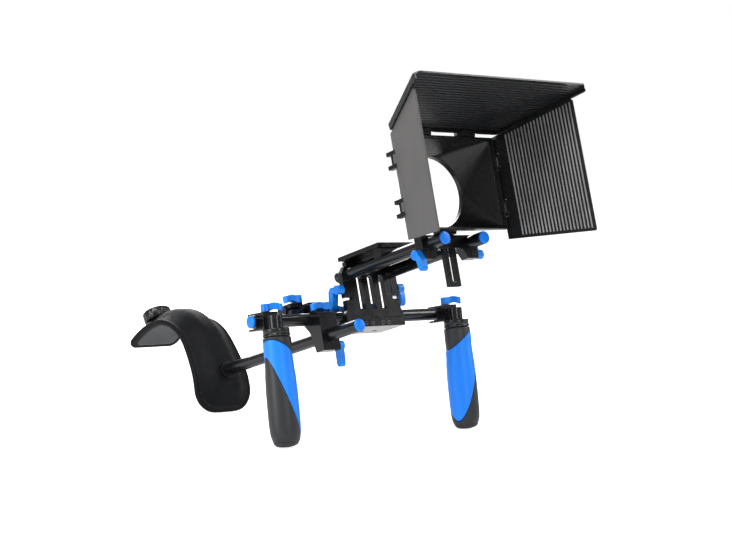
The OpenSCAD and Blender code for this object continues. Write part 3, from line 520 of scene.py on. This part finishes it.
def grip(side):
    """One handle's sleeve, coloured insert, collar and foot, drawn downwards from its boss."""
    mirror = 1 if side == "left" else -1
    place = on_rod(GRIP_X[side]) @ Matrix.Translation((0, -22.5, -10))
    steps = 96
    angles = [2 * math.pi * i / steps for i in range(steps)]
    body = side + "_handle"

    def on_grip(phi, depth, offset):
        return grip_point(phi, depth, grip_radius(depth) + offset, mirror)

    def column(shares, start, end, offset):
        return [[on_grip(phi, start(phi) + (end(phi) - start(phi)) * t, offset(t))
                 for phi in angles] for t in shares]

    seat, lip = 1.7, 0.9
    sleeve = [[grip_point(phi, SLEEVE_TOP, 11, mirror) for phi in angles]]
    sleeve += column([0, 0.02], lambda p: SLEEVE_TOP, lambda p: inlay_top(p) - lip,
                     lambda t: -0.7 if t == 0 else -0.1)
    sleeve += column([i / 8 for i in range(1, 8)] + [0.97, 1.0], lambda p: SLEEVE_TOP,
                     lambda p: inlay_top(p) - lip, lambda t: 0.0 if t < 0.99 else -0.35)
    sleeve += column([0, 0.5, 1], lambda p: inlay_top(p) - lip + 0.3,
                     lambda p: inlay_end(p) + lip - 0.3, lambda t: -seat)
    sleeve += column([0, 0.02] + [i / 10 for i in range(1, 10)] + [1.0],
                     lambda p: inlay_end(p) + lip, lambda p: SLEEVE_END,
                     lambda t: -0.35 if t == 0 else 0.0)
    sleeve.append([grip_point(phi, SLEEVE_END, 10, mirror) for phi in angles])
    bm = bmesh.new()
    rings(bm, sleeve)
    piece(side + "_grip_sleeve", bm, BLACK_RUBBER, body, (side + "_grip",),
          place=place)

    shares = [0, 0.012, 0.03] + [i / 16 for i in range(1, 16)] + [0.97, 0.988, 1.0]

    def crown(t):
        return {0: -0.5, 1.0: -0.5, 0.012: 0.0, 0.988: 0.0}.get(t, 0.3)

    insert = [[grip_point(phi, inlay_top(phi), 13, mirror) for phi in angles]]
    insert += column(shares, inlay_top, inlay_end, crown)
    insert.append([grip_point(phi, inlay_end(phi), 13, mirror) for phi in angles])
    bm = bmesh.new()
    rings(bm, insert)
    # Shallow dimples for the fingers' hold
    for v in bm.verts:
        depth = -v.co.z
        phi = math.atan2(mirror * v.co.x, -v.co.y)
        if v.co.xy.length > 14:
            v.co.xy *= 1 - 0.004 * max(0.0, math.sin(depth * 0.42) * math.cos(phi * 9)) ** 2
    piece(side + "_grip_insert", bm, BLUE_RUBBER, body, (side + "_grip_inlay",),
          place=place)

    bm = bmesh.new()
    lathe(bm, COLLAR_PROFILE, (0, 0, 0), (0, 0, -1), 64)
    lathe(bm, CORE_PROFILE, (0, 0, 0), (0, 0, -1), 32)
    piece(side + "_grip_collar", bm, FLAP_PLASTIC, body, (side + "_grip_core",),
          place=place)

    bm = bmesh.new()
    lathe(bm, FOOT_PROFILE, (0, 0, 0), (0, 0, -1), 64)
    piece(side + "_grip_foot", bm, BLACK_RUBBER, body, (side + "_grip_end",),
          place=place)


grip("left")
grip("right")

# Ribs of the flaps
HINGE_X, HINGE_Y = 77.0, 8.0
FLAP_SPLAY = math.radians(24.4)
FLAP_LEN, FLAP_HALF, FLAP_ROOT = 104.0, 1.2, 1.5
FLAP_LOW, FLAP_DROP = -0.5, 14
FLAP_HIGH, FLAP_CLIMB = 120.5, 20.5
RIB_INSET, RIB_COUNT = 3, 21


def flap_edges(r):
    """Heights of a side flap's lower and upper edges at distance r from its hinge."""
    share = (r - FLAP_ROOT) / (FLAP_LEN - FLAP_ROOT)
    return FLAP_LOW - FLAP_DROP * share, FLAP_HIGH + FLAP_CLIMB * share


def rib(bm, start, end, across, out, wide, high):
    """A rounded rib from start to end, `across` its width and `out` from the plate."""
    start, end = Vector(start), Vector(end)
    across, out = Vector(across), Vector(out)
    along = (end - start).normalized()
    loops = []
    taper, sunk = 0.9, 0.15
    for base, push, scale in ((start, 0, 0.35), (start, taper, 1.0),
                              (end, -taper, 1.0), (end, 0, 0.35)):
        half = wide / 2 * (0.6 + 0.4 * scale)
        loops.append([base + along * push - across * math.cos(a) * half
                      + out * (math.sin(a) * high * scale - sunk)
                      for a in (math.pi * i / 6 for i in range(7))])
    rings(bm, loops)


def side_ribs(side):
    """Ribs on the inner face of a side flap, drawn on its hinge axes."""
    mirror = 1 if side == "right" else -1
    forward = Vector((mirror * math.sin(FLAP_SPLAY), -math.cos(FLAP_SPLAY), 0))
    inward = Vector((-mirror * math.cos(FLAP_SPLAY), -math.sin(FLAP_SPLAY), 0))
    hinge = Vector((mirror * HINGE_X, HINGE_Y, 0))
    bm = bmesh.new()
    first, last = 17.0, 99.5
    for i in range(RIB_COUNT):
        r = first + (last - first) * i / (RIB_COUNT - 1)
        low, high = flap_edges(r)
        at = hinge + forward * r + inward * FLAP_HALF
        rib(bm, at + Vector((0, 0, low + RIB_INSET)), at + Vector((0, 0, high - RIB_INSET)),
            forward, inward, 2.0, 1.0)
    # Pale grey here is a painted highlight on the black ribs.
    piece(side + "_flap_ribs", bm, RIB_PAINTED_HIGHLIGHT, side + "_flap")


side_ribs("right")
side_ribs("left")

TOP_LEN, TOP_RISE, TOP_DOWN = 116.0, math.radians(12), 3.6
TOP_PIN_Z, TOP_REAR, TOP_FRONT, TOP_ROOT = 123.2, 82.8, 129.0, 4.6


def top_ribs():
    """Ribs across the underside of the top flap."""
    place = Matrix.Translation((0, HINGE_Y, TOP_PIN_Z)) @ Matrix.Rotation(-TOP_RISE, 4, "X")
    bm = bmesh.new()
    first, last = 10.0, 110.0
    for i in range(RIB_COUNT):
        y = first + (last - first) * i / (RIB_COUNT - 1)
        half = TOP_REAR - 3.2 + (TOP_FRONT - TOP_REAR) * (y - TOP_ROOT) / (TOP_LEN - TOP_ROOT - 8)
        if y > TOP_LEN - 10:
            half = min(half, TOP_FRONT - 8)
        rib(bm, (-half, -y, TOP_DOWN), (half, -y, TOP_DOWN), (0, 1, 0), (0, 0, -1), 2.4, 0.9)
    piece("top_flap_ribs", bm, RIB_PLASTIC, "top_flap", place=place)


top_ribs()


# ---------------------------------------------------------------- shoulder pad
PAD_Y, PAD_Z, PAD_R, PAD_REAR_R = 480.0, -62.0, 75.0, 150.0
PAD_LEAN, PAD_REAR_TURN, PAD_DROP = math.radians(9), math.radians(25), 69.0
PAD_MID, PAD_RIM, PAD_CROWN = 5.0, 3.6, 11.0
FRONT_ARC = (math.pi / 2 - PAD_LEAN) * (PAD_R - PAD_MID)
REAR_ARC = PAD_REAR_TURN * (PAD_REAR_R - PAD_MID) + PAD_MID + 3.5
PAD_FOOT = -PAD_MID
PAD_END = PAD_DROP + FRONT_ARC + REAR_ARC
FRONT_CORNER, REAR_CORNER = 29.0, 13.0
SEAM_IN, LINING_IN = 6.2, 6.5
EDGE_ROLL, EDGE_THIN = 2.4, 0.25


def pad_at(s):
    """The pad's middle at length s up from its front foot: point and outward normal in Y, Z."""
    centre = Vector((PAD_Y, PAD_Z))
    if s < PAD_DROP:
        out = Vector((-math.cos(PAD_LEAN), math.sin(PAD_LEAN)))
        down = Vector((-math.sin(PAD_LEAN), -math.cos(PAD_LEAN)))
        point = centre + out * (PAD_R - PAD_MID) + down * (PAD_DROP - s)
    elif s < PAD_DROP + FRONT_ARC:
        a = PAD_LEAN + (s - PAD_DROP) / (PAD_R - PAD_MID)
        out = Vector((-math.cos(a), math.sin(a)))
        point = centre + out * (PAD_R - PAD_MID)
    else:
        a = (s - PAD_DROP - FRONT_ARC) / (PAD_REAR_R - PAD_MID)
        out = Vector((math.sin(a), math.cos(a)))
        point = Vector((PAD_Y, PAD_Z + PAD_R - PAD_REAR_R)) + out * (PAD_REAR_R - PAD_MID)
    swell = 6.0 * math.sin(math.pi * max(0.0, min(1.0, (s - PAD_FOOT) / (PAD_DROP + 25)))) ** 2
    return point + out * swell, out


def pad_point(x, s, height):
    point, out = pad_at(s)
    return Vector((ARM_X + x, point.x + out.x * height, point.y + out.y * height))


def smooth(t):
    t = max(0.0, min(1.0, t))
    return t * t * (3 - 2 * t)


def pad_width(s):
    """Half the pad's width at s between its corners: wider low on the front than over the top."""
    return 42.0 - 5.0 * smooth((s - 20) / 90)


def pad_half(s, inset=0.0):
    """Half the width at s of the pad's outline, or of one drawn `inset` inside it."""
    half = pad_width(s) - inset
    for corner, end in ((FRONT_CORNER, s - PAD_FOOT), (REAR_CORNER, PAD_END - s)):
        if end < corner:
            radius = corner - inset
            half = min(half, pad_width(s) - corner
                       + math.sqrt(max(0.0, radius ** 2 - (corner - max(0.0, end)) ** 2)))
    return half


def pad_edge(x, s):
    """How far a point lies inside the pad's rounded outline."""
    front = s < (PAD_FOOT + PAD_END) / 2
    corner = FRONT_CORNER if front else REAR_CORNER
    end = s - PAD_FOOT if front else PAD_END - s
    side = pad_width(s) - abs(x)
    dx, ds = corner - side, corner - end
    if dx > 0 and ds > 0:
        return corner - math.hypot(dx, ds)
    return min(side, end)


def turned_edge(e):
    """Height of the rolled edge at a distance e inside the outline."""
    share = 1 - min(e, EDGE_ROLL) / EDGE_ROLL
    return EDGE_THIN + (PAD_RIM - EDGE_THIN) * math.sqrt(max(0.0, 1 - share ** 2))


def pad_outside(x, s):
    """Height of the cushion's outer skin: a turned edge, a sunken seam and a soft crown."""
    e = pad_edge(x, s)
    if e < EDGE_ROLL:
        return turned_edge(e)
    seam = -1.1 * math.exp(-((e - SEAM_IN) / 0.75) ** 2)
    body = (PAD_MID - PAD_RIM + PAD_CROWN) * smooth((e - SEAM_IN) / 24)
    puff = 0.7 * smooth((e - SEAM_IN) / 3)
    soft = 0.9 * noise.noise(Vector((x * 0.035, s * 0.03, 2.0))) * smooth((e - SEAM_IN) / 10)
    return PAD_RIM + seam + body + puff + soft


def pad_inside(x, s):
    return -turned_edge(pad_edge(x, s))


def pad_rows(count, first, last):
    """Lengths along the pad, closer together towards its ends."""
    return [first + (last - first) * (0.5 - 0.5 * math.cos(math.pi * i / (count - 1))) * 0.4
            + (last - first) * i / (count - 1) * 0.6 for i in range(count)]


PAD_ACROSS = [math.sin(math.pi / 2 * t) * 0.55 + 0.45 * t for t in
              (i / 20 for i in range(-20, 21))]


def pad_cushion():
    bm = bmesh.new()
    loops = []
    for s in pad_rows(110, PAD_FOOT, PAD_END):
        half = max(2.0, pad_half(s))
        top = [pad_point(half * t, s, pad_outside(half * t, s)) for t in PAD_ACROSS]
        under = [pad_point(half * t, s, pad_inside(half * t, s)) for t in reversed(PAD_ACROSS)]
        loops.append(top + under)
    rings(bm, loops)
    piece("pad_cushion_soft", bm, NEOPRENE, "shoulder", ("pad_cushion",), levels=1)


def pad_lining():
    """A thinner padded layer on the underside, inside the turned edge."""
    bm = bmesh.new()
    loops = []
    for s in pad_rows(90, PAD_FOOT + LINING_IN, PAD_END - LINING_IN):
        half = max(2.0, min(pad_half(s - LINING_IN), pad_half(s + LINING_IN)) - LINING_IN)
        top = [pad_point(half * t, s, -2.6) for t in PAD_ACROSS]
        under = []
        for t in reversed(PAD_ACROSS):
            e = pad_edge(half * t, s) - LINING_IN
            under.append(pad_point(half * t, s, -3.3 - 1.5 * smooth(e / 5)
                                   - 0.3 * noise.noise(Vector((t * 3, s * 0.05, 7.0)))))
        loops.append(top + under)
    rings(bm, loops)
    piece("pad_lining_soft", bm, LINING, "shoulder", ("pad_lining",), levels=1)


def stitch(bm, x, s, d):
    """One stitch of the seam, centred at x and s and lying along d."""
    long, fat, thin = 2.3, 0.34, 0.12
    n = Vector((-d.y, d.x))
    loops = []
    for push, thick in ((-0.5, thin), (-0.3, fat), (0.3, fat), (0.5, thin)):
        loop = []
        for a in (math.pi * k / 3 for k in range(6)):
            px = x + d.x * push * long + n.x * math.cos(a) * thick
            ps = s + d.y * push * long + n.y * math.cos(a) * thick
            loop.append(pad_point(px, ps, PAD_RIM - 0.55 + math.sin(a) * thick))
        loops.append(loop)
    rings(bm, loops)


def pad_stitching():
    bm = bmesh.new()
    outline = [(pad_half(s, SEAM_IN), s)
               for s in pad_rows(240, PAD_FOOT + SEAM_IN, PAD_END - SEAM_IN)]
    outline += [(-x, s) for x, s in reversed(outline)]
    outline.append(outline[0])
    pitch = 3.6
    travelled, due = 0.0, 0.0
    for (x0, s0), (x1, s1) in zip(outline, outline[1:]):
        step = math.hypot(x1 - x0, s1 - s0)
        while step > 0 and due <= travelled + step:
            t = (due - travelled) / step
            stitch(bm, x0 + (x1 - x0) * t, s0 + (s1 - s0) * t, Vector((x1 - x0, s1 - s0)) / step)
            due += pitch
        travelled += step
    piece("pad_stitching", bm, THREAD, "shoulder")


pad_cushion()
pad_lining()
pad_stitching()


KNOB_TURN, KNOB_R = math.radians(14.9), 18.6
KNOB_PROFILE = ((8, 155), (11, 155), (11, 161.9), (17.6, 162), (KNOB_R, 162.8), (KNOB_R, 174),
                (18.2, 175.2), (17, 176.1), (15.6, 176.5), (14.4, 175.6), (6, 175.3), (1, 175.3))


def pad_knob():
    """The round knob over the rear of the pad: a plain neck and a finger-ridged rim."""
    axis = Vector((0, math.sin(KNOB_TURN), math.cos(KNOB_TURN)))
    centre = Vector((ARM_X, PAD_Y, PAD_Z + PAD_R - PAD_REAR_R))
    bm = bmesh.new()
    side = Vector((1, 0, 0))
    other = axis.cross(side)
    loops = []
    steps, ridges, ridge_high = 120, 20, 0.25
    for radius, along in KNOB_PROFILE:
        ridged = ridge_high if radius == KNOB_R else 0
        loop = []
        for a in (2 * math.pi * i / steps for i in range(steps)):
            r = radius + ridged * math.sin(a * ridges)
            loop.append(centre + axis * along + r * (math.cos(a) * side + math.sin(a) * other))
        loops.append(loop)
    rings(bm, loops)
    piece("pad_knob_ridged", bm, FLAP_PLASTIC, "shoulder", ("pad_knob",))


pad_knob()
